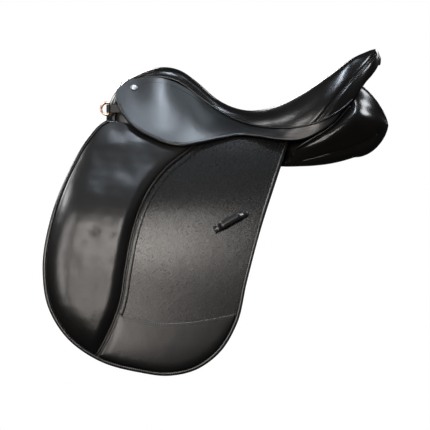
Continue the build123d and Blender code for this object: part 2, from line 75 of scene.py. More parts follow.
PATCH_HEIGHT = 1.5
PATCH_BULGE, PATCH_BULGE_REACH = 2.4, 85.0  # the patch swells this far, over this reach
WELT_RADIUS = 2.5
WELT_HALF = 2.5
SKIRT_LEATHER = 4.0
SKIRT_ROUND = 1.9
SKIRT_BULGE = 1.8
STITCH_PITCH = 3.7
STITCH_LENGTH = 2.6
STITCH_RADIUS = 0.55
EDGE_STITCH_RADIUS = 0.3
ON_LEATHER = 0.15  # threads lie this far off a surface
CORD_SIDES = 10
SEAT_CORD, CANTLE_CORD, HEAD_CORD, FACING_CORD, PIPING_CORD, GUSSET_CORD = 1.7, 1.2, 1.3, 1.4, 1.9, 1.0

FLAP_EDGE = [(-246, 82), (-258, 75), (-283, 47), (-317, -14), (-348, -97), (-362, -189), (-352, -255),
             (-320, -308), (-262, -350), (-189, -371), (-139, -377), (-88, -366), (-45, -334),
             (-16, -285), (2, -210), (27, -115), (56, -24), (79, 46)]
FLAP_TOP_MID = (-80, 56)
FLAP_LOWEST = (-120, -377)
WELT_LINE = [(-62, 62), (-99, 28), (-144, -9), (-171, -45), (-190, -84), (-205, -135), (-215, -190),
             (-225, -250), (-247, -306), (-288, -372)]
PATCH_CORNER_Z = -268.0
PATCH_LINE = [(-262, -262), (-207, -274), (-153, -283), (-99, -281), (-54, -274), (40, -250)]

# Seat, front to rear: y, then z of the middle, x and z of the rim, x and z of the seam.
SEAT = [(-224, 147, 18, 147, 40, 140), (-200, 161, 20, 161, 42, 151), (-172, 172, 22, 173, 43, 158),
        (-145, 177, 24, 177, 45, 157), (-115, 170, 27, 170, 48, 147), (-85, 148, 32, 149, 54, 124),
        (-50, 117, 38, 119, 65, 99), (0, 95, 56, 99, 88, 75), (50, 94, 76, 104, 112, 66),
        (100, 108, 90, 127, 130, 68), (150, 134, 94, 160, 134, 84), (200, 174, 76, 196, 112, 125),
        (216, 188, 64, 203, 98, 150), (230, 202, 52, 208, 80, 166), (239, 207, 38, 208, 60, 179),
        (244, 203, 24, 201, 38, 190)]
SEAT_END_DROP, SEAT_END_ROUND = 6.0, 9.0  # both ends are rounded down by this, over this length
SEAT_CAPS = [(0.93, 0.7), (0.75, 1.5), (0.45, 2.0)]  # shares of the last section, and their way behind it
CANTLE_SEAM = [(124, 72), (140, 90), (158, 113), (175, 134), (192, 153), (207, 169), (222, 185), (236, 201)]
FOAM = [(-226, 132), (-200, 143), (-145, 155), (-100, 140), (-50, 103), (0, 78), (50, 78),
        (100, 90), (150, 116), (200, 151), (240, 182)]

# Skirt, front to rear: y, x and z of the upper edge, x and z of the lower edge; its lower outline.
SKIRT = [(-232, 48, 154, 131, 33), (-200, 48, 155, 131, 33), (-150, 49, 157, 130, 33),
         (-100, 54, 136, 128, 33), (-50, 68, 98, 128, 33), (0, 90, 74, 128, 36), (50, 114, 65, 130, 38),
         (100, 132, 67, 134, 38), (140, 136, 78, 138, 46), (178, 126, 102, 130, 88)]
SKIRT_BOTTOM = [(-232, 118), (-224, 96), (-203, 70), (-168, 50), (-140, 39), (-115, 35), (-86, 39),
                (-62, 44), (-38, 49), (-9, 54), (22, 52), (58, 46), (99, 45), (122, 53), (145, 66),
                (162, 80), (173, 96), (177, 104)]
SKIRT_CORNER = (-212, 151)  # its upper front corner is cut off from here
SKIRT_FRONT_TOP = 136  # down to here on its front edge

# Facing over the pommel, from the top middle down the left leg: outer edge, ridge and inner edge (x, y, z).
HEAD_OUTER = [(0, -222, 148), (22, -223, 146), (40, -227, 136), (50, -231, 118), (56, -234, 92),
              (64, -234, 48)]
HEAD_RIDGE = [(0, -235, 138), (20, -236, 135), (35, -240, 125), (43, -248, 106), (49, -252, 86),
              (62, -246, 44)]
HEAD_INNER = [(0, -226, 124), (16, -227, 121), (28, -231, 112), (35, -238, 98), (42, -240, 78),
              (54, -236, 42)]
HEAD_SIDE_TOP, HEAD_SIDE_REAR, HEAD_SIDE_SPREAD = 137, -196, 8  # lining from the facing's edge back to a y

# Panel, front to rear: y, then the corners of its section (x, z).
PANEL = [(-246, [(56, 40), (72, 50), (84, 30), (104, -24), (76, -18)]),
         (-225, [(52, 48), (74, 56), (86, 32), (112, -38), (72, -24)]),
         (-120, [(38, 54), (78, 56), (89, 32), (112, -30), (52, 0)]),
         (-50, [(34, 56), (80, 56), (90, 32), (104, -2), (36, 12)]),
         (66, [(34, 57), (80, 56), (91, 32), (104, 0), (36, 12)]),
         (92, [(34, 62), (96, 54), (118, 32), (108, 0), (37, 12)]),
         (125, [(34, 80), (110, 72), (132, 42), (112, 1), (38, 12)]),
         (160, [(34, 100), (110, 96), (138, 60), (112, 5), (40, 16)]),
         (200, [(34, 134), (92, 148), (132, 86), (106, 15), (43, 28)])]
PANEL_END = (200.0, 258.4)  # its rounded rear end
PANEL_END_SINK = 11.0
PANEL_END_HOLD, PANEL_END_BLUNT = 1.7, 0.68  # how late it narrows, and how blunt its tip is
PANEL_CROWNS = (0.0, 0.0, 0.055, 0.02, 0.0)  # each side's crown as a share of its length
PANEL_CAPS = [(0.9, 1.5), (0.65, 3.0)]  # shares of the first section, and their way ahead
PANEL_PIPING = [(88, 27), (108, 40), (135, 56), (158, 72), (180, 96), (190, 107)]
PANEL_GUSSET = [(100, 6), (125, 11), (149, 18), (180, 25), (209, 36), (230, 47), (240, 56)]


# --- lines and fields ---
def hermite(keys, values, at):
    """Values at new keys on a smooth curve through the given ones."""
    keys = np.asarray(keys, float)
    values = np.asarray(values, float)
    gaps = np.diff(keys)[:, None]
    slopes = np.diff(values, axis=0) / gaps
    inner = (slopes[:-1] * gaps[1:] + slopes[1:] * gaps[:-1]) / (gaps[:-1] + gaps[1:])
    tangents = np.vstack([2 * slopes[:1] - inner[:1], inner, 2 * slopes[-1:] - inner[-1:]])
    at = np.clip(np.asarray(at, float), keys[0], keys[-1])
    spot = np.clip(np.searchsorted(keys, at) - 1, 0, len(keys) - 2)
    gap = gaps[spot]
    t = (at - keys[spot])[:, None] / gap
    return (values[spot] * (1 + 2 * t) * (1 - t) ** 2 + tangents[spot] * gap * t * (1 - t) ** 2
            + values[spot + 1] * t * t * (3 - 2 * t) + tangents[spot + 1] * gap * t * t * (t - 1))


def unit(rows):
    return rows / np.linalg.norm(rows, axis=1)[:, None]


def run_lengths(points):
    steps = np.linalg.norm(np.diff(points, axis=0), axis=1)
    return np.concatenate([[0], np.cumsum(steps)])


def spots_on(line, at):
    """Points on a line of straight runs at the given distances from its start."""
    lengths = run_lengths(line)
    return np.column_stack([np.interp(at, lengths, column) for column in line.T])


def smooth_line(points, step=None, count=None):
    """Evenly spaced points on a smooth line through the given ones."""
    knots = np.asarray(points, float)
    chords = run_lengths(knots)
    fine = hermite(chords, knots, np.linspace(0, chords[-1], 24 * len(knots)))
    length = run_lengths(fine)[-1]
    count = count or max(2, round(length / step) + 1)
    return spots_on(fine, np.linspace(0, length, count))


def smooth_loop(points, count):
    """Evenly spaced points on a smooth closed line through the given ones, from the first."""
    knots = np.vstack([points, points, points])
    chords = run_lengths(knots)
    fine = hermite(chords, knots, np.linspace(chords[len(points)], chords[2 * len(points)], 12 * count))
    return spots_on(fine, np.linspace(0, run_lengths(fine)[-1], count, endpoint=False))


def even_loop(points, step):
    """Evenly spaced points round a closed outline of straight runs."""
    closed = np.vstack([points, points[:1]])
    length = run_lengths(closed)[-1]
    return spots_on(closed, np.linspace(0, length, round(length / step), endpoint=False))


def moved_in(line, inset):
    """A dense side line moved to its left by inset."""
    run = unit(np.gradient(line, axis=0))
    return line + inset * np.column_stack([-run[:, 1], run[:, 0]])


def distance_to(line, points, closed=False):
    """Distance of each point from a line of straight runs."""
    starts = line if closed else line[:-1]
    ends = np.roll(line, -1, axis=0) if closed else line[1:]
    nearest = np.full(len(points), 1e9)
    for start, end in zip(starts, ends):
        run = end - start
        share = np.clip((points - start) @ run / max(run @ run, 1e-9), 0, 1)
        nearest = np.minimum(nearest, np.linalg.norm(points - start - share[:, None] * run, axis=1))
    return nearest


def inside(outline, points):
    """Which points lie in a closed outline."""
    within = np.zeros(len(points), bool)
    y, z = points.T
    for (ay, az), (by, bz) in zip(outline, np.roll(outline, -1, axis=0)):
        if az != bz:
            within ^= ((az > z) != (bz > z)) & (y < (by - ay) * (z - az) / (bz - az) + ay)
    return within


def cushion(distance, width):
    """Quarter ellipse: 0 at an edge, 1 from width inwards."""
    share = 1 - np.clip(distance / width, 0, 1)
    return np.sqrt(np.clip(1 - share ** 2, 0, 1))


def ease(value, low, high):
    """Smooth step from 0 at low to 1 at high."""
    t = np.clip((value - low) / (high - low), 0, 1)
    return t * t * (3 - 2 * t)


def bumps(points, size, seed=0.0):
    """Gentle waves of about the given size over side places, from -1 to 1, the same on each run."""
    total = np.zeros(len(points))
    for number in range(5):
        angle = 2.4 * number + seed
        direction = np.array([math.cos(angle), math.sin(angle)])
        total += np.sin(points @ direction * (2 * math.pi / size) * (0.8 + 0.17 * number) + 5 * angle)
    return total / 5


# --- surfaces ---
def circle_through(places):
    """Centre and radius of the circle through three places."""
    places = np.array(places, float)
    x, y, rest = np.linalg.solve(np.column_stack([2 * places, np.ones(3)]), np.sum(places ** 2, axis=1))
    return x, y, math.sqrt(rest + x * x + y * y)


AXIS_X, AXIS_Z, FLAP_RADIUS = circle_through(FLAP_FACE)


def on_flap(line, lift=0.0):
    """Points and outward directions at side places (y, z), lifted off the flap's outer face."""
    y, z = np.asarray(line, float).T
    run = np.sqrt(FLAP_RADIUS ** 2 - (z - AXIS_Z) ** 2)
    out = np.column_stack([run, 0 * y, z - AXIS_Z]) / FLAP_RADIUS
    face = np.column_stack([AXIS_X + run, y, z])
    rearward = np.clip((y - FLAP_CROWN_FROM) / (FLAP_CROWN_TO - FLAP_CROWN_FROM), 0, 1)
    crown = FLAP_CROWN * (1 - rearward ** 2) * ease(-z, *FLAP_CROWN_DEPTH)
    return face + out * (crown + np.broadcast_to(lift, y.shape))[:, None], out


SKIRT_KEYS = [row[0] for row in SKIRT]
SKIRT_SHAPE = [row[1:] for row in SKIRT]


def on_skirt(line, lift=0.0):
    """Points and outward directions at side places (y, z), lifted off the skirt's outer face."""
    y, z = np.asarray(line, float).T
    top_x, top_z, low_x, low_z = hermite(SKIRT_KEYS, SKIRT_SHAPE, y).T
    share = (top_z - z) / (top_z - low_z)
    bulge = SKIRT_BULGE * 4 * np.clip(share, 0, 1) * np.clip(1 - share, 0, 1) * (1 - 0.5 * ease(y, -80, 40))
    run = unit(np.column_stack([low_x - top_x, 0 * y, low_z - top_z]))
    out = np.column_stack([-run[:, 2], 0 * y, run[:, 0]])
    face = np.column_stack([top_x + share * (low_x - top_x), y, z])
    return face + out * (bulge + lift)[:, None], out


# --- mesh makers ---
def new_piece(name, points, faces, material, side=1, levels=0):
    """A smooth-shaded mesh from points in millimetres."""
    mesh = bpy.data.meshes.new(name)
    points = np.asarray(points, float) * (MM * side, MM, MM)
    if side < 0:
        faces = [tuple(reversed(face)) for face in faces]
    mesh.from_pydata(points.tolist(), [], [tuple(int(i) for i in face) for face in faces])
    mesh.validate()
    mesh.polygons.foreach_set("use_smooth", [True] * len(mesh.polygons))
    piece = bpy.data.objects.new(name, mesh)
    bpy.context.scene.collection.objects.link(piece)
    mesh.materials.append(material)
    if levels:
        refine(piece, levels)
    return piece


def refine(piece, levels):
    """Subdivide a piece and keep the result as its mesh."""
    modifier = piece.modifiers.new("refine", "SUBSURF")
    modifier.levels = modifier.render_levels = levels
    bpy.context.view_layer.update()
    made = bpy.data.meshes.new_from_object(piece.evaluated_get(bpy.context.evaluated_depsgraph_get()))
    piece.modifiers.clear()
    made.name = piece.name
    piece.data = made


def filled(outline, rings, step):
    """Triangles that fill a side outline, with points closer together near its edge."""
    outline = np.asarray(outline, float)
    y, z = outline.T
    if np.sum(y * np.roll(z, -1) - np.roll(y, -1) * z) < 0:
        outline = outline[::-1]
    lo, hi = outline.min(0), outline.max(0)
    columns, rows = np.meshgrid(np.arange(lo[0], hi[0], step), np.arange(lo[1], hi[1], step))
    grid = np.stack((columns, rows), -1).reshape(-1, 2)
    grid[:, 0] += (np.round((grid[:, 1] - lo[1]) / step) % 2) * step / 2
    grid = grid[inside(outline, grid)]
    grid = grid[distance_to(outline, grid, closed=True) > rings[-1] + 0.55 * step]
    clouds = [outline]
    closed = np.vstack([outline[-1:], outline, outline[:1]])
    for inset in rings:
        ring = moved_in(closed, inset)[1:-1]
        ring = ring[inside(outline, ring)]
        clouds.append(ring[distance_to(outline, ring, closed=True) > 0.9 * inset])
    clouds.append(grid)
    points = [Vector(p) for p in np.vstack(clouds)]
    made = delaunay_2d_cdt(points, [], [list(range(len(outline)))], 1, 1e-4)
    flat = np.array([tuple(v) for v in made[0]])
    faces = [f for f in made[2] if len(f) == 3]
    return flat, faces


def field_piece(name, outline, surface, top, under, material, side, rings=(0.5, 1.2, 2.4, 4.5), step=6.0):
    """A closed piece over a side outline, between two height fields on a surface."""
    flat, faces = filled(outline, rings, step)
    above, _ = surface(flat, top(flat))
    below, _ = surface(flat, under(flat))
    count = len(flat)
    edges = {tuple(edge) for face in faces for edge in zip(face, face[1:] + face[:1])}
    border = [(a, b) for a, b in edges if (b, a) not in edges]
    walls = [(b, a, a + count, b + count) for a, b in border]
    lower = [tuple(i + count for i in reversed(face)) for face in faces]
    faces = [tuple(face) for face in faces]
    return new_piece(name, np.vstack([above, below]), faces + lower + walls, material, side)


def ring_faces(rings, around):
    """Four-sided faces between closed rings of points that follow each other."""
    faces = []
    for i in range(rings - 1):
        for j in range(around):
            k = (j + 1) % around
            faces.append((i * around + j, i * around + k, (i + 1) * around + k, (i + 1) * around + j))
    return faces


def cord_faces(rings, around):
    """The same faces turned over, with both ends closed."""
    faces = [(a, d, c, b) for a, b, c, d in ring_faces(rings, around)]
    last = (rings - 1) * around
    return faces + [tuple(range(around)), tuple(range(last + around - 1, last - 1, -1))]


def swept(name, line, surface, section, material, side):
    """A strip along a dense side line: the section's points are (distance to its left, lift)."""
    rows = [surface(moved_in(line, inset), lift)[0] for inset, lift in section]
    count, around = len(line), len(section)
    faces = ring_faces(count, around)
    faces.append(tuple(range(around - 1, -1, -1)))
    faces.append(tuple((count - 1) * around + j for j in range(around)))
    return new_piece(name, np.stack(rows, 1).reshape(-1, 3), faces, material, side)


def tube(name, line, radius, material, side, outs):
    """A round cord with tapered ends along a line of points, turned by its outward directions."""
    line = np.asarray(line, float)
    run = unit(np.gradient(line, axis=0))
    across = unit(np.cross(run, outs))
    out = np.cross(across, run)
    angles = np.linspace(0, 2 * math.pi, CORD_SIDES, endpoint=False)
    to_end = np.minimum(run_lengths(line), run_lengths(line[::-1])[::-1])
    radii = (radius * (0.15 + 0.85 * cushion(to_end, 3 * radius)))[:, None, None]
    ring = (across[:, None, :] * np.cos(angles)[None, :, None]
            + out[:, None, :] * np.sin(angles)[None, :, None])
    points = (line[:, None, :] + radii * ring).reshape(-1, 3)
    return new_piece(name, points, cord_faces(len(line), CORD_SIDES), material, side)


def stitches(name, rows, material, side, pitch=STITCH_PITCH, length=STITCH_LENGTH, radius=STITCH_RADIUS):
    """Rows of short threads lying on a surface; each row is (points, outward directions)."""
    profile = [(-0.5, 0.15), (-0.34, 0.8), (0.0, 1.0), (0.34, 0.8), (0.5, 0.15)]
    sides = 6
    angles = np.linspace(0, 2 * math.pi, sides, endpoint=False)
    thread_faces = cord_faces(len(profile), sides)
    points, faces = [], []
    for line, outs in rows:
        lengths = run_lengths(line)
        for at in np.arange(pitch / 2, lengths[-1] - pitch / 2, pitch):
            def place(spot):
                return np.array([np.interp(spot, lengths, column) for column in line.T])
            middle = place(at)
            run = place(at + length / 2) - place(at - length / 2)
            size = np.linalg.norm(run)
            if size < 0.3 * length:
                continue
            run /= size
            out = np.array([np.interp(at, lengths, column) for column in outs.T])
            across = np.cross(run, out)
            across /= np.linalg.norm(across)
            out = np.cross(across, run)
            base = len(points)
            for along, width in profile:
                centre = middle + run * along * length + out * radius * (0.35 - 0.9 * (2 * along) ** 2)
                for angle in angles:
                    turn = across * math.cos(angle) + out * math.sin(angle)
                    points.append(centre + radius * width * turn)
            faces += [tuple(base + i for i in face) for face in thread_faces]
    return new_piece(name, points, faces, material, side)


def lofted(name, sections, material, side=1, levels=0):
    """A closed skin over closed sections with the same number of points, capped at both ends."""
    around = len(sections[0])
    points = np.vstack(sections)
    faces = ring_faces(len(sections), around)
    ends = [(0, sections[0]), ((len(sections) - 1) * around, sections[-1])]
    for number, (base, section) in enumerate(ends):
        points = np.vstack([points, np.mean(section, axis=0)])
        hub = len(points) - 1
        for j in range(around):
            k = (j + 1) % around
            faces.append((hub, base + k, base + j) if number == 0 else (hub, base + j, base + k))
    return new_piece(name, points, faces, material, side, levels)


def end_caps(section, caps, way):
    """Smaller copies of an end section, which round it off forwards (way -1) or rearwards (1)."""
    middle = section.mean(axis=0)
    return [middle + (section - middle) * share + (0, way * out, 0) for share, out in caps]


def side_tree(piece):
    """What side lines are laid on: a search tree of a left piece's mesh."""
    mesh = piece.data
    corners = [vertex.co / MM for vertex in mesh.vertices]
    return BVHTree.FromPolygons(corners, [tuple(face.vertices) for face in mesh.polygons])


def laid_on(tree, line, lift=0.0):
    """Points and outward directions where side places (y, z), seen from the left, meet a piece."""
    points, outs = [], []
    start = 400.0  # further out than the saddle's side
    for y, z in line:
        place, out, _, _ = tree.ray_cast(Vector((start, y, z)), Vector((-1, 0, 0)))
        if place is not None:
            out = out if out.x > 0 else -out
            points.append(place + out * lift)
            outs.append(out)
    return np.array(points), np.array(outs)


def smoothed(line, rounds=4):
    """A line of points with small jitters averaged out."""
    line = np.array(line, float)
    for _ in range(rounds):
        line[1:-1] = (line[:-2] + 2 * line[1:-1] + line[2:]) / 4
    return line


def pressed(piece, line, depth, width):
    """Sink a sewn line into a piece along its normals."""
    mesh = piece.data
    count = len(mesh.vertices)
    points = np.zeros(count * 3, np.float32)
    mesh.vertices.foreach_get("co", points)
    normals = np.zeros(count * 3, np.float32)
    mesh.vertex_normals.foreach_get("vector", normals)
    points = points.reshape(-1, 3).astype(float)
    normals = normals.reshape(-1, 3).astype(float)
    near = distance_to(np.asarray(line) * MM, points) / MM
    points -= normals * (depth * MM * np.exp(-(near / width) ** 2))[:, None]
    mesh.vertices.foreach_set("co", points.astype(np.float32).ravel())
    mesh.update()


# --- materials ---
class Shader:
    """A node material on the object's own coordinates."""

    def __init__(self, name):
        self.material = bpy.data.materials.new(name)
        self.material.use_nodes = True
        self.tree = self.material.node_tree
        self.surface = self.tree.nodes["Principled BSDF"]
        self.place = self.node("ShaderNodeTexCoord").outputs["Object"]

    def node(self, kind, **settings):
        made = self.tree.nodes.new(kind)
        for key, value in settings.items():
            if key.startswith("in_"):
                made.inputs[key[3:].replace("_", " ")].default_value = value
            else:
                setattr(made, key, value)
        return made

    def link(self, output, socket):
        self.tree.links.new(output, socket)

    def noise(self, scale, detail=4.0, roughness=0.5):
        made = self.node("ShaderNodeTexNoise", in_Scale=scale, in_Detail=detail, in_Roughness=roughness)
        self.link(self.place, made.inputs["Vector"])
        return made.outputs["Fac"]

    def cells(self, scale):
        made = self.node("ShaderNodeTexVoronoi", feature="DISTANCE_TO_EDGE", in_Scale=scale)
        self.link(self.place, made.inputs["Vector"])
        return made.outputs["Distance"]

    def span(self, value, low, high, new_low, new_high):
        made = self.node("ShaderNodeMapRange", in_From_Min=low, in_From_Max=high, in_To_Min=new_low,
                         in_To_Max=new_high)
        self.link(value, made.inputs["Value"])
        return made.outputs["Result"]

    def mix(self, amount, first, second):
        made = self.node("ShaderNodeMix", data_type="RGBA")
        self.link(amount, made.inputs["Factor"])
        for socket, value in ((made.inputs[6], first), (made.inputs[7], second)):
            if hasattr(value, "links"):
                self.link(value, socket)
            else:
                socket.default_value = (*value, 1)
        return made.outputs[2]

    def bump(self, height, distance, strength, under=None):
        made = self.node("ShaderNodeBump", in_Distance=distance, in_Strength=strength)
        self.link(height, made.inputs["Height"])
        if under is not None:
            self.link(under, made.inputs["Normal"])
        return made.outputs["Normal"]

    def finish(self, colour=None, rough=None, normal=None, **constants):
        for output, socket in ((colour, "Base Color"), (rough, "Roughness"), (normal, "Normal")):
            if output is not None:
                self.link(output, self.surface.inputs[socket])
        for key, value in constants.items():
            self.surface.inputs[key.replace("_", " ")].default_value = value
        return self.material


DYE = 0.6  # share of the leather tones that comes back as colour


def leather(name, dark, light, rough, grain=1.0, coat=0.07, crease=0.22):
    """Dyed leather: pebble grain, soft creases, uneven polish and edges rubbed lighter."""
    shader = Shader(name)
    dark, light = (tuple(DYE * c for c in tone) for tone in (dark, light))
    cloud = shader.noise(16.0, 2.0)
    speck = shader.noise(600.0, 3.0, 0.7)
    colour = shader.mix(shader.span(cloud, 0.3, 0.75, 0.0, 1.0), dark, light)
    colour = shader.mix(shader.span(speck, 0.35, 0.7, 0.0, 0.6), colour, tuple(0.4 * c for c in dark))
    worn = shader.node("ShaderNodeNewGeometry").outputs["Pointiness"]
    rubbed = tuple(2.0 * c + 0.006 for c in light)
    colour = shader.mix(shader.span(worn, 0.53, 0.62, 0.0, 0.6), colour, rubbed)
    pores = shader.span(shader.cells(760.0), 0.0, 0.35, 0.0, 1.0)
    fine = shader.noise(1500.0, 3.0)
    normal = shader.bump(shader.noise(52.0, 4.0, 0.5), 0.0008, crease)
    normal = shader.bump(pores, 0.00004 * grain, 0.4, normal)
    normal = shader.bump(shader.noise(420.0, 2.0), 0.00002 * grain, 0.5, normal)
    normal = shader.bump(fine, 0.00003 * grain, 0.5, normal)
    polish = shader.span(shader.noise(340.0, 3.0), 0.25, 0.75, rough - 0.006, rough + 0.009)
    return shader.finish(colour, polish, normal, Specular_IOR_Level=0.5, Coat_Weight=coat,
                         Coat_Roughness=0.3)


def thread(name, colour, ridge_highlight_tone):
    """Twisted waxed thread, with a painted highlight: its twist ridges are mixed toward a lighter tone."""
    shader = Shader(name)
    twist = shader.node("ShaderNodeTexWave", in_Scale=900.0, in_Distortion=1.0)
    shader.link(shader.place, twist.inputs["Vector"])
    # Painted highlight: the twist bands are mixed toward the lighter tone.
    tone = shader.mix(twist.outputs["Fac"], colour, ridge_highlight_tone)
    return shader.finish(tone, shader.span(shader.noise(300.0), 0.3, 0.7, 0.4, 0.6),
                         shader.bump(twist.outputs["Fac"], 0.0001, 0.6))


def metal(name, colour, shade, rough):
    """Polished metal with fine rubbing marks and slight tarnish."""
    shader = Shader(name)
    tone = shader.mix(shader.span(shader.noise(90.0, 6.0), 0.4, 0.75, 0.0, 0.7), colour, shade)
    marks = shader.noise(260.0, 8.0, 0.7)
    return shader.finish(tone, shader.span(marks, 0.3, 0.7, rough, rough + 0.14),
                         shader.bump(marks, 0.00005, 0.25), Metallic=1.0)


def wood(name):
    """Laminated beech with a lacquer skin."""
    shader = Shader(name)
    rings = shader.node("ShaderNodeTexWave", bands_direction="Z", in_Scale=60.0, in_Distortion=3.0,
                        in_Detail=3.0)
    shader.link(shader.place, rings.inputs["Vector"])
    tone = shader.mix(rings.outputs["Fac"], (0.20, 0.11, 0.05), (0.36, 0.22, 0.11))
    return shader.finish(tone, shader.span(shader.noise(120.0), 0.3, 0.7, 0.4, 0.55),
                         shader.bump(rings.outputs["Fac"], 0.0002, 0.3))


def woven(name, colour, shade, scale):
    """Plain woven cloth: two sets of ribs across each other."""
    shader = Shader(name)
    ribs = []
    for direction in ("X", "Y"):
        rib = shader.node("ShaderNodeTexWave", bands_direction=direction, in_Scale=scale, in_Distortion=0.6)
        shader.link(shader.place, rib.inputs["Vector"])
        ribs.append(rib.outputs["Fac"])
    weave = shader.node("ShaderNodeMath", operation="MULTIPLY")
    shader.link(ribs[0], weave.inputs[0])
    shader.link(ribs[1], weave.inputs[1])
    tone = shader.mix(shader.span(weave.outputs[0], 0.0, 0.8, 0.0, 1.0), shade, colour)
    return shader.finish(tone, shader.span(shader.noise(200.0), 0.3, 0.7, 0.75, 0.9),
                         shader.bump(weave.outputs[0], 0.0004, 0.6), Sheen_Weight=0.15)


SMOOTH = leather("seat_leather", (0.0085, 0.008, 0.008), (0.014, 0.012, 0.0115), 0.22, grain=0.5)
GRAIN = leather("flap_grain_leather", (0.009, 0.0092, 0.0098), (0.016, 0.0155, 0.015), 0.27, grain=1.0)
SKIRTING = leather("skirt_leather", (0.010, 0.011, 0.0125), (0.018, 0.0185, 0.0195), 0.28, grain=0.3)
SOFT = leather("block_leather", (0.010, 0.0098, 0.010), (0.018, 0.016, 0.015), 0.29, grain=0.8, crease=0.3)
PATCHING = leather("patch_leather", (0.009, 0.009, 0.0095), (0.014, 0.0138, 0.0135), 0.24, grain=0.35)
PANELLING = leather("panel_soft_leather", (0.0085, 0.008, 0.0078), (0.015, 0.0125, 0.011), 0.20, grain=0.4)
BOUND = leather("binding_leather", (0.011, 0.0115, 0.013), (0.020, 0.021, 0.0225), 0.24, grain=0.4, coat=0.3)
WELTED = leather("welt_leather", (0.014, 0.012, 0.011), (0.024, 0.020, 0.018), 0.30, grain=0.5)
STRAPPING = leather("strap_leather_black", (0.010, 0.0095, 0.009), (0.019, 0.017, 0.0155), 0.30, grain=0.6)
TABBING = leather("tab_leather_black", (0.005, 0.005, 0.005), (0.009, 0.0085, 0.008), 0.46, grain=0.8,
                  coat=0.0)
THREAD = thread("waxed_thread", (0.006, 0.006, 0.006), (0.03, 0.029, 0.028))
# Painted highlight: the flap's edge row uses a lighter grey copy of the thread, so its stitches look lit.
EDGE_THREAD_PAINTED_HIGHLIGHT = thread("edge_thread_painted_highlight", (0.10, 0.098, 0.095), (0.26, 0.25, 0.24))
COPPER = metal("rose_gold_metal", (0.88, 0.55, 0.42), (0.62, 0.33, 0.22), 0.14)
STEEL = metal("bar_steel_metal", (0.62, 0.62, 0.63), (0.38, 0.37, 0.36), 0.24)
SPRING = metal("spring_steel_metal", (0.30, 0.31, 0.34), (0.16, 0.15, 0.15), 0.32)
NAIL = metal("nail_nickel_metal", (0.42, 0.42, 0.43), (0.2, 0.2, 0.21), 0.34)
WOOD = wood("tree_beech")
WEBBING = woven("jute_webbing", (0.36, 0.27, 0.16), (0.17, 0.12, 0.07), 260.0)

CAD_FINISH = {
    "tree_head": WOOD, "tree_rail": WOOD, "cantle_board": WOOD, "gullet_plate": SPRING,
    "head_plate": SPRING, "tree_springs": SPRING, "straining_webs": WEBBING, "cross_web": WEBBING,
    "saddle_nails": NAIL, "cantle_facing": STRAPPING, "bar_rivets": STEEL,
    "catch_pins": STEEL, "sweat_flap": GRAIN, "point_pocket": STRAPPING, "dee_tab": TABBING,
    "girth_web": WEBBING, "stirrup_bar": STEEL, "dee_ring": COPPER, "bar_catch": STEEL,
    "front_billet": STRAPPING, "rear_billet": STRAPPING,
}
for name, node in nodes.items():
    finish = CAD_FINISH.get(name.removeprefix("left_").removeprefix("right_"), SMOOTH)
    node.data.materials.clear()
    node.data.materials.append(finish)


# --- what pieces ride on ---
def fixed(piece, body="root"):
    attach(piece, body)


def bends_with_flap(piece):
    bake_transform(piece)


def bends_with_skirt(piece):
    """Bakes the piece's placement into its mesh; the skirt's bend across its slanted fold line is not
    followed here.
    """
    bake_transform(piece)


# --- flap ---
flap_line = smooth_line(FLAP_EDGE, step=3.0)
flap_outline = even_loop(np.vstack([flap_line, [FLAP_TOP_MID]]), 3.0)
bound_line = moved_in(flap_line, BINDING_WIDTH)
bound_outline = np.vstack([bound_line, [FLAP_TOP_MID]])
welt_all = smooth_line(WELT_LINE, step=3.0)
welt_bounds = np.vstack([moved_in(flap_line, 3.0), [FLAP_TOP_MID]])
welt_line = welt_all[inside(welt_bounds, welt_all) | (welt_all[:, 1] > 20)]
strip_line = welt_line[welt_line[:, 1] > PATCH_CORNER_Z]


def nearest(line, point):
    return int(np.argmin(np.linalg.norm(line - point, axis=1)))


def front_part(line, last_point):
    """The stretch of an edge line from its start to where it is nearest a point."""
    return line[:nearest(line, last_point) + 1]


def rear_part(line, first_point):
    return line[nearest(line, first_point):]


def flap_leather(label, side):
    def rounding(flat):
        return FLAP_ROUND * (1 - cushion(distance_to(flap_outline, flat, closed=True), FLAP_ROUND))
    piece = field_piece(f"{label}_flap_leather", flap_outline, on_flap,
                        lambda flat: -rounding(flat), lambda flat: rounding(flat) - FLAP_LEATHER,
                        GRAIN, side)
    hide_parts(f"{label}_flap", f"{label}_flap_top")
    bends_with_flap(piece)


def flap_binding(label, side):
    back = -FLAP_LEATHER
    section = [(5.4, 0.1), (4.6, 0.95), (3.2, 1.4), (1.6, BINDING_HEIGHT), (0.2, 1.2), (-0.8, 0.2),
               (-1.2, -1.2), (-1.2, back + 1.2), (-0.8, back - 0.2), (0.3, back - 0.9), (3.0, back - 0.9),
               (5.2, back - 0.1), (5.0, back), (0.4, back), (0.1, back + 1.5), (0.1, -1.5), (0.5, 0.05)]
    piece = swept(f"{label}_flap_binding_roll", flap_line, on_flap, section[::-1], BOUND, side)
    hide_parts(f"{label}_flap_binding")
    bends_with_flap(piece)


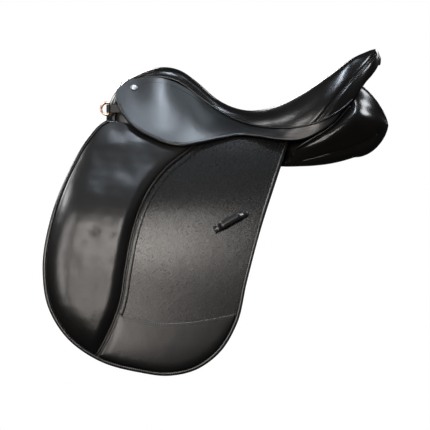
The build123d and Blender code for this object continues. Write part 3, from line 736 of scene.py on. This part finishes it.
def block_heights(front, rear):
    """Height field of the padded knee block, from distances to its two long edges."""
    def heights(flat):
        ahead = distance_to(front, flat)
        behind = distance_to(rear, flat)
        z = flat[:, 1]
        rise = BLOCK_SHOULDER_HEIGHT + (1 - BLOCK_SHOULDER_HEIGHT) * (1 - ease(z, *BLOCK_SHOULDER))
        rise *= 1 - 0.75 * ease(z, *BLOCK_TOP)
        rise *= 0.62 + 0.38 * ease(z, *BLOCK_FOOT)
        full = cushion(ahead, BLOCK_FRONT_RISE) * cushion(behind, BLOCK_REAR_RISE)
        dimple = np.exp(-np.sum((flat - BLOCK_DIMPLE) ** 2, axis=1) / 8 ** 2)
        along, above = (flat - BLOCK_CREASE).T
        fold = np.exp(-((above - 0.3 * along) / 2.2) ** 2) * np.exp(-(along / 16) ** 2)
        soft = bumps(flat, 62.0) * 0.45 + bumps(flat, 27.0, 1.3) * 0.2
        return 0.2 + full * (BLOCK_HEIGHT * rise + soft - 1.1 * dimple - 0.5 * fold)
    return heights


def flap_block(label, side):
    rear = moved_in(welt_line, -WELT_HALF)
    front = front_part(bound_line, rear[-1])
    outline = even_loop(np.vstack([front, rear[::-1]]), 3.0)
    piece = field_piece(f"{label}_knee_block", outline, on_flap, block_heights(front, rear),
                        lambda flat: 0.1, SOFT, side, rings=(0.4, 1.0, 2.0, 3.6, 6.0, 9.0), step=4.5)
    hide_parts(f"{label}_block_core", f"{label}_block_cover")
    bends_with_flap(piece)


def flap_welt(label, side):
    roll, outs = on_flap(welt_line, 1.6)
    piece = tube(f"{label}_flap_welt_roll", roll, WELT_RADIUS, WELTED, side, outs)
    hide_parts(f"{label}_flap_welt")
    bends_with_flap(piece)
    section = [(3.4, 0.05), (3.7, 0.85), (5.0, 1.15), (10.5, 1.15), (11.8, 0.85), (12.2, 0.05)]
    strip = swept(f"{label}_flap_welt_strip", strip_line, on_flap, section, GRAIN, side)
    bends_with_flap(strip)


def wear_patch(label, side):
    seam = smooth_line(PATCH_LINE, step=3.0)
    clear = moved_in(welt_line, 4.4)
    within = inside(bound_outline, seam)
    behind = seam[:, 0] > np.interp(seam[:, 1], clear[::-1, 1], clear[::-1, 0])
    seam = seam[within & behind]
    front = clear[(clear[:, 1] < seam[0, 1]) & inside(bound_outline, clear)]
    low = front_part(rear_part(bound_line, front[-1]), seam[-1])
    outline = even_loop(np.vstack([seam[::-1], front, low]), 3.0)

    def heights(flat):
        edge = distance_to(outline, flat, closed=True)
        below = np.clip(distance_to(seam, flat) / PATCH_BULGE_REACH, 0, 1)
        bulge = PATCH_BULGE * cushion(edge, 12) * (1 - (1 - below) ** 2)
        return 0.1 + PATCH_HEIGHT * cushion(edge, 1.8) + bulge
    piece = field_piece(f"{label}_girth_wear_patch", outline, on_flap, heights,
                        lambda flat: 0.05, PATCHING, side)
    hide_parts(f"{label}_wear_patch")
    bends_with_flap(piece)
    return seam, front


def flap_stitching(label, side, patch_seam, patch_front):
    # The edge row is sewn with the lighter thread that paints a highlight on its stitches.
    edge = on_flap(moved_in(flap_line, 3.2)[2:-2], BINDING_HEIGHT)
    edge_row = stitches(f"{label}_flap_edge_stitching", [edge], EDGE_THREAD_PAINTED_HIGHLIGHT, side, radius=EDGE_STITCH_RADIUS)
    bends_with_flap(edge_row)
    rear = rear_part(flap_line, FLAP_LOWEST)
    rows = [on_flap(moved_in(rear, inset)[:-2], 0.2) for inset in (7.5, 12.0)]
    rows += [on_flap(moved_in(strip_line, inset)[:-2], 1.3) for inset in (4.9, 10.7)]
    for inset in (2.2, 6.2):
        rows.append(on_flap(moved_in(patch_seam, -inset)[2:-2], PATCH_HEIGHT + 0.2))
    rows.append(on_flap(moved_in(patch_front, 2.4)[2:-3], PATCH_HEIGHT + 0.2))
    piece = stitches(f"{label}_flap_stitching", rows, THREAD, side)
    bends_with_flap(piece)


def strap_keeper(label, side):
    """Slanted strap loop that tidies the stirrup leather: two stitched feet and a low arch."""
    centre, tilt = np.array([-25.5, -102.0]), math.radians(29)
    half, wide, thick = 34.0, 7.0, 2.3
    foot, slope, arch_height = 6, 12, 5.6
    along = np.array([math.cos(tilt), math.sin(tilt)])
    spots = np.linspace(-half, half, 41)
    line = centre + spots[:, None] * along
    arch = arch_height * ease(half - foot - np.abs(spots), 0, slope)
    section = [(-wide, 0.35), (-wide, 1.2), (-wide + 0.8, thick), (0, thick + 0.25), (wide - 0.8, thick),
               (wide, 1.2), (wide, 0.35), (wide - 0.8, 0.0), (-wide + 0.8, 0.0)]
    piece = swept(f"{label}_keeper_strap", line, lambda place, lift: on_flap(place, ON_LEATHER + arch + lift),
                  section[::-1], BOUND, side)
    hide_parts(f"{label}_keeper")
    fixed(piece, f"{label}_flap")
    rows = []
    for end in (-1, 1):
        reach = np.linspace(1.8 - wide, wide - 1.8, 9)[:, None]
        row = centre + end * (half - 1.6) * along + reach * np.array([-along[1], along[0]])
        rows.append(on_flap(row, thick + 0.3))
    sewn = stitches(f"{label}_keeper_stitching", rows, THREAD, side, pitch=2.6, length=1.9)
    fixed(sewn, f"{label}_flap")


def strap_stitching(label, side):
    """Sewn edges on the billets and the sweat flap."""
    for strap, centre in (("front", -150.0), ("rear", -76.0)):
        rows = []
        for offset in (-11.0, 11.0):
            y = centre + offset
            line = smooth_line([(y, 8), (y, -140), (y, -274)], step=3.0)
            rows.append(on_flap(line, BILLET_FACE + 0.1))
        piece = stitches(f"{label}_{strap}_billet_stitching", rows, THREAD, side)
        fixed(piece, f"{label}_{strap}_strap")
    edge = moved_in(flap_line, 22.0)
    edge = edge[edge[:, 1] < 40]
    piece = stitches(f"{label}_sweat_flap_stitching", [on_flap(edge, SWEAT_FACE + 0.1)], THREAD, side)
    fixed(piece)


# --- skirt ---
def skirt(label, side):
    bottom = smooth_line(SKIRT_BOTTOM, step=2.5)
    top_y = np.arange(bottom[-1, 0], SKIRT_CORNER[0], -4.0)
    top = np.column_stack([top_y, hermite(SKIRT_KEYS, SKIRT_SHAPE, top_y)[:, 1] + 0.5])
    outline = even_loop(np.vstack([bottom, top, [SKIRT_CORNER, (bottom[0, 0], SKIRT_FRONT_TOP)]]), 2.5)

    def rounding(flat):
        return SKIRT_ROUND * (1 - cushion(distance_to(bottom, flat), SKIRT_ROUND))

    def face(flat):
        return 0.35 * bumps(flat, 75.0, 0.7) * ease(flat[:, 1], 40, 70) - rounding(flat)
    piece = field_piece(f"{label}_skirt_leather", outline, on_skirt, face,
                        lambda flat: rounding(flat) - SKIRT_LEATHER, SKIRTING, side, step=5.0)
    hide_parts(f"{label}_skirt_upper", f"{label}_skirt_lobe")
    bends_with_skirt(piece)
    rows = [on_skirt(moved_in(bottom, 5.0)[3:-3], ON_LEATHER)]
    sewn = stitches(f"{label}_skirt_edge_stitching", rows, THREAD, side)
    bends_with_skirt(sewn)
    seam_y = np.arange(-190, 150, 3.0)
    seam = smoothed(np.column_stack([seam_y, hermite(SKIRT_KEYS, SKIRT_SHAPE, seam_y)[:, 1] - 9.0]))
    seam_row = stitches(f"{label}_skirt_seam_stitching", [on_skirt(seam, ON_LEATHER)], THREAD, side)
    fixed(seam_row)


# --- seat ---
SEAT_KEYS = [row[0] for row in SEAT]
SEAT_SHAPE = [row[1:] for row in SEAT]


def seat_section(y, top_points=57, under_points=15):
    """Closed section of the seat: over the top from right seam to left seam and back underneath."""
    mid_z, rim_x, rim_z, seam_x, seam_z = hermite(SEAT_KEYS, SEAT_SHAPE, [y])[0]
    front, rear = SEAT_KEYS[0], SEAT_KEYS[-1]
    end_drop = SEAT_END_DROP * (1 - cushion(min(y - front, rear - y), SEAT_END_ROUND))
    shoulder_x = (rim_x + seam_x) / 2 + 1.5
    shoulder_z = (rim_z + seam_z) / 2 + 0.16 * (rim_z - seam_z) + 2.0
    half = [(seam_x, seam_z), (shoulder_x, shoulder_z), (rim_x, rim_z),
            (rim_x * 0.5, mid_z + (rim_z - mid_z) * 0.3), (0, mid_z)]
    over = smooth_line([*half, *[(-x, z) for x, z in half[-2::-1]]], count=top_points)
    over[:, 1] -= end_drop * ease(over[:, 1], seam_z - 1, seam_z + 14)
    foam_z = min(float(np.interp(y, *np.array(FOAM).T)), mid_z - 9)
    low = [(seam_x - 2.5, seam_z - 3.5), (seam_x * 0.6, min(foam_z, seam_z) - 1), (0, foam_z)]
    under = smooth_line([*low, *[(-x, z) for x, z in low[-2::-1]]], count=under_points)[::-1]
    section = np.vstack([over, under])
    return np.column_stack([section[:, 0], np.full(len(section), y), section[:, 1]])


def seat():
    front, rear = SEAT_KEYS[0], SEAT_KEYS[-1]
    close = rear - 20  # sections lie closer together from here
    stations = np.unique(np.concatenate([np.arange(front, close, 4.0), front + np.array([0.6, 1.6, 3]),
                                         np.arange(close, rear, 2.0), [rear - 0.8, rear]]))
    sections = [seat_section(y) for y in stations]
    sections += end_caps(sections[-1], SEAT_CAPS, 1)
    piece = lofted("seat_cushion", [s[::-1] for s in sections], SMOOTH, levels=1)
    seam, _ = laid_on(side_tree(piece), smooth_line(CANTLE_SEAM, step=3.0))
    seam = smoothed(seam)
    for _, side in SIDES:
        pressed(piece, seam * (side, 1, 1), 2.0, 3.4)
    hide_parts("seat_cover", "seat_foam")
    fixed(piece)
    return piece


def seat_seams(seat_piece):
    keys = np.arange(SEAT_KEYS[1] - 14, 196, 3.0)
    shape = hermite(SEAT_KEYS, SEAT_SHAPE, keys)
    for label, side in SIDES:
        seam = smoothed(np.column_stack([shape[:, 3] + 2.6, keys, shape[:, 4] + 1.6]))
        piece = tube(f"{label}_seat_welt_cord", seam, SEAT_CORD, BOUND, side, (0.8, 0, 0.6))
        if side > 0:
            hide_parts("seat_welt")
        fixed(piece)
    tree = side_tree(seat_piece)
    cantle_line, cantle_outs = laid_on(tree, smooth_line(CANTLE_SEAM, step=3.0), -0.4)
    for label, side in SIDES:
        cord = tube(f"{label}_cantle_welt", smoothed(cantle_line), CANTLE_CORD, WELTED, side, cantle_outs)
        fixed(cord)
    above = smoothed(np.column_stack([keys, shape[:, 4] + 6.5]))
    head_y = np.arange(-218, -158, 3.0)
    head_z = hermite(SEAT_KEYS, SEAT_SHAPE, head_y)[:, 2]
    for label, side in SIDES:
        line, outs = laid_on(tree, above[(keys > -190) & (keys < 122)], ON_LEATHER)
        row = stitches(f"{label}_seat_stitching", [(smoothed(line), smoothed(outs))], THREAD, side)
        fixed(row)
        for number, drop in enumerate((4.5, 9.0)):
            path = np.column_stack([head_y, head_z - drop - 0.02 * (head_y + 218)])
            line, outs = laid_on(tree, path, 0.1)
            cord = tube(f"{label}_head_welt_{number + 1}", smoothed(line), HEAD_CORD, BOUND, side, outs)
            fixed(cord)


def head_facing():
    """Padded leather over the front of the pommel, its welt, and a lining down each side of the head."""
    edges = [smooth_line(line, count=31) for line in (HEAD_OUTER, HEAD_RIDGE, HEAD_INNER)]
    full = [np.vstack([edge[::-1], edge[1:] * (-1, 1, 1)]) for edge in edges]
    rows = []
    for outer, ridge, inner in zip(*full):
        back = ridge + (0, 9.0, 0)
        lower, upper = (ridge + 3 * inner) / 4 + (0, -3.0, 0), (ridge + outer) / 2 + (0, -2.2, 0)
        rows.append([outer, upper, ridge, lower, inner, (inner + back) / 2 + (0, 1.5, 0), back,
                     (outer + back) / 2])
    piece = lofted("head_facing_pad", [np.array(row) for row in rows], SMOOTH, levels=2)
    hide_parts("head_facing")
    fixed(piece)
    leg = edges[0][edges[0][:, 2] < HEAD_SIDE_TOP]
    behind = np.column_stack([leg[:, 0] + HEAD_SIDE_SPREAD, np.full(len(leg), HEAD_SIDE_REAR), leg[:, 2]])
    sections = [np.array([front, (front + back) / 2 + (1, 0, 0), back, back - (2, 0, 0), front - (2, 0, 0)])
                for front, back in zip(leg, behind)]
    for label, side in SIDES:
        lining = lofted(f"{label}_head_lining", sections, STRAPPING, side, levels=1)
        fixed(lining)
    cord = tube("head_facing_welt", smoothed(full[0] + (0, -0.8, 0)), FACING_CORD, BOUND, 1, (0, -1, 0))
    fixed(cord)


# --- panels ---
PANEL_KEYS = [row[0] for row in PANEL]
PANEL_SHAPE = [np.array(row[1], float).ravel() for row in PANEL]


def panel_section(y, around=64):
    corners = hermite(PANEL_KEYS, PANEL_SHAPE, [y])[0].reshape(-1, 2)
    middle = corners.mean(axis=0)
    end = np.clip((y - PANEL_END[0]) / (PANEL_END[1] - PANEL_END[0]), 0, 1)
    size = (1 - end ** PANEL_END_HOLD) ** PANEL_END_BLUNT
    corners = middle + (corners - middle) * size - (0, PANEL_END_SINK * end)
    middle = corners.mean(axis=0)
    crowned = []
    for corner, following, crown in zip(corners, np.roll(corners, -1, axis=0), PANEL_CROWNS):
        run = following - corner
        length = np.linalg.norm(run)
        out = np.array([-run[1], run[0]]) / length
        if out @ ((corner + following) / 2 - middle) < 0:
            out = -out
        crowned += [corner + (middle - corner) * 0.01, (corner + following) / 2 + out * crown * length]
    ring = smooth_loop(crowned, around)
    return np.column_stack([ring[:, 0], np.full(around, y), ring[:, 1]])


def panels():
    front, (taper, rear) = PANEL_KEYS[0], PANEL_END
    turn = np.sin(np.linspace(0, math.pi / 2, 16)[:-1])
    stations = np.concatenate([np.arange(front, taper - 2, 5.0), taper + (rear - taper) * turn,
                               [rear - 0.04]])
    sections = [panel_section(y) for y in stations]
    sections = end_caps(sections[0], PANEL_CAPS, -1)[::-1] + sections
    for label, side in SIDES:
        piece = lofted(f"{label}_panel_cushion", sections, PANELLING, 1, levels=1)
        tree = side_tree(piece)
        piping, piping_outs = laid_on(tree, smooth_line(PANEL_PIPING, step=3.0))
        gusset, gusset_outs = laid_on(tree, smooth_line(PANEL_GUSSET, step=3.0))
        piping, gusset = smoothed(piping), smoothed(gusset)
        pressed(piece, piping, 2.2, 5.0)
        pressed(piece, gusset, 2.2, 4.5)
        if side < 0:
            flip(piece)
        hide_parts(f"{label}_panel_cover", f"{label}_flocking")
        fixed(piece)
        cord = tube(f"{label}_panel_piping", piping, PIPING_CORD, BOUND, side, piping_outs)
        fixed(cord)
        sewn_line = gusset - gusset_outs * 2.3
        cord = tube(f"{label}_gusset_welt", sewn_line, GUSSET_CORD, PANELLING, side, gusset_outs)
        fixed(cord)


def flip(piece):
    """Mirror a piece's mesh across the saddle's middle plane."""
    mesh = piece.data
    for vertex in mesh.vertices:
        vertex.co.x = -vertex.co.x
    mesh.flip_normals()


# --- light, camera and stage ---
def emission(name, colour, strength):
    material = bpy.data.materials.new(name)
    material.use_nodes = True
    tree = material.node_tree
    tree.nodes.clear()
    glow = tree.nodes.new("ShaderNodeEmission")
    glow.inputs["Color"].default_value = (*colour, 1)
    glow.inputs["Strength"].default_value = strength
    out = tree.nodes.new("ShaderNodeOutputMaterial")
    tree.links.new(glow.outputs[0], out.inputs["Surface"])
    return material


def stage():
    """A plain pale floor under the saddle and a white world that only the camera sees at full strength."""
    floor_z, floor_radius, corners = -400, 6000, 64
    ring = [(floor_radius * math.cos(turn), floor_radius * math.sin(turn), floor_z)
            for turn in np.linspace(0, 2 * math.pi, corners, endpoint=False)]
    floor = new_piece("studio_floor", ring, [tuple(range(corners))], emission("pale_floor", (1, 1, 1), 1.0))
    floor.visible_diffuse = floor.visible_glossy = floor.visible_shadow = False
    world = bpy.data.worlds.new("studio_world")
    bpy.context.scene.world = world
    world.use_nodes = True
    tree = world.node_tree
    sky = tree.nodes["Background"]
    path = tree.nodes.new("ShaderNodeLightPath")
    strength = tree.nodes.new("ShaderNodeMapRange")
    strength.inputs["To Min"].default_value = 0.03
    strength.inputs["To Max"].default_value = 1.0
    tree.links.new(path.outputs["Is Camera Ray"], strength.inputs["Value"])
    tree.links.new(strength.outputs["Result"], sky.inputs["Strength"])
    sky.inputs["Color"].default_value = (1, 1, 1, 1)


def softbox(name, place, target, size, power, colour=(1, 1, 1)):
    light = bpy.data.lights.new(name, "AREA")
    light.shape = "RECTANGLE"
    light.size, light.size_y = size
    light.energy = power
    light.color = colour
    lamp = bpy.data.objects.new(name, light)
    lamp.location = place
    lamp.rotation_euler = (Vector(target) - Vector(place)).to_track_quat("-Z", "Y").to_euler()
    lamp.visible_camera = False
    bpy.context.scene.collection.objects.link(lamp)


def lighting():
    middle = (0.1, -0.05, -0.05)
    softbox("key", (1.4, -0.2, 0.47), middle, (0.16, 0.2), 2.9, (1.0, 0.94, 0.88))
    softbox("key_high", (1.4, -0.12, 0.7), middle, (0.12, 0.14), 1.2, (1.0, 0.96, 0.93))
    softbox("key_low", (1.4, -0.3, 0.0), middle, (0.16, 0.46), 2.5, (1.0, 0.93, 0.87))
    softbox("key_front", (1.4, -0.75, 0.45), middle, (0.16, 1.0), 7.0, (1.0, 0.95, 0.92))
    softbox("overhead", (0.62, -0.06, 1.5), middle, (0.16, 0.28), 6.6, (0.78, 0.88, 1.0))
    softbox("top_rear", (0.3, 0.4, 1.5), middle, (0.25, 0.25), 1.0, (0.74, 0.9, 1.0))
    softbox("front_high", (-0.3, -1.6, 1.2), middle, (0.4, 0.4), 14)
    softbox("front", (0.6, -1.2, 1.2), middle, (0.4, 0.3), 9)
    softbox("rear", (0.36, 1.2, 1.25), (0.1, 0.2, 0.1), (0.55, 0.45), 13, (0.93, 0.96, 1.0))
    softbox("far_key", (-2.1, -1.0, 1.1), middle, (1.3, 0.9), 45)
    softbox("far_fill", (-1.9, 1.2, 0.9), middle, (1.0, 0.8), 12)


def camera():
    """Straight at the saddle's left side, through a long lens."""
    view = bpy.data.cameras.new("side_view")
    view.sensor_width, view.lens = 36.0, 1000.0
    view.clip_end = 60.0
    eye = bpy.data.objects.new("side_view", view)
    target = Vector((0.1, -0.054, -0.090))
    frame_width = 0.774
    eye.location = target + Vector((frame_width * view.lens / view.sensor_width, 0, 0))
    eye.rotation_euler = (target - eye.location).to_track_quat("-Z", "Y").to_euler()
    bpy.context.scene.collection.objects.link(eye)
    bpy.context.scene.camera = eye


bpy.context.scene.view_settings.view_transform = "Standard"
camera()
stage()
lighting()
seat_piece = seat()
seat_seams(seat_piece)
head_facing()
panels()
for label, side in SIDES:
    flap_leather(label, side)
    flap_binding(label, side)
    flap_block(label, side)
    flap_welt(label, side)
    seam, seam_front = wear_patch(label, side)
    flap_stitching(label, side, seam, seam_front)
    strap_keeper(label, side)
    strap_stitching(label, side)
    skirt(label, side)
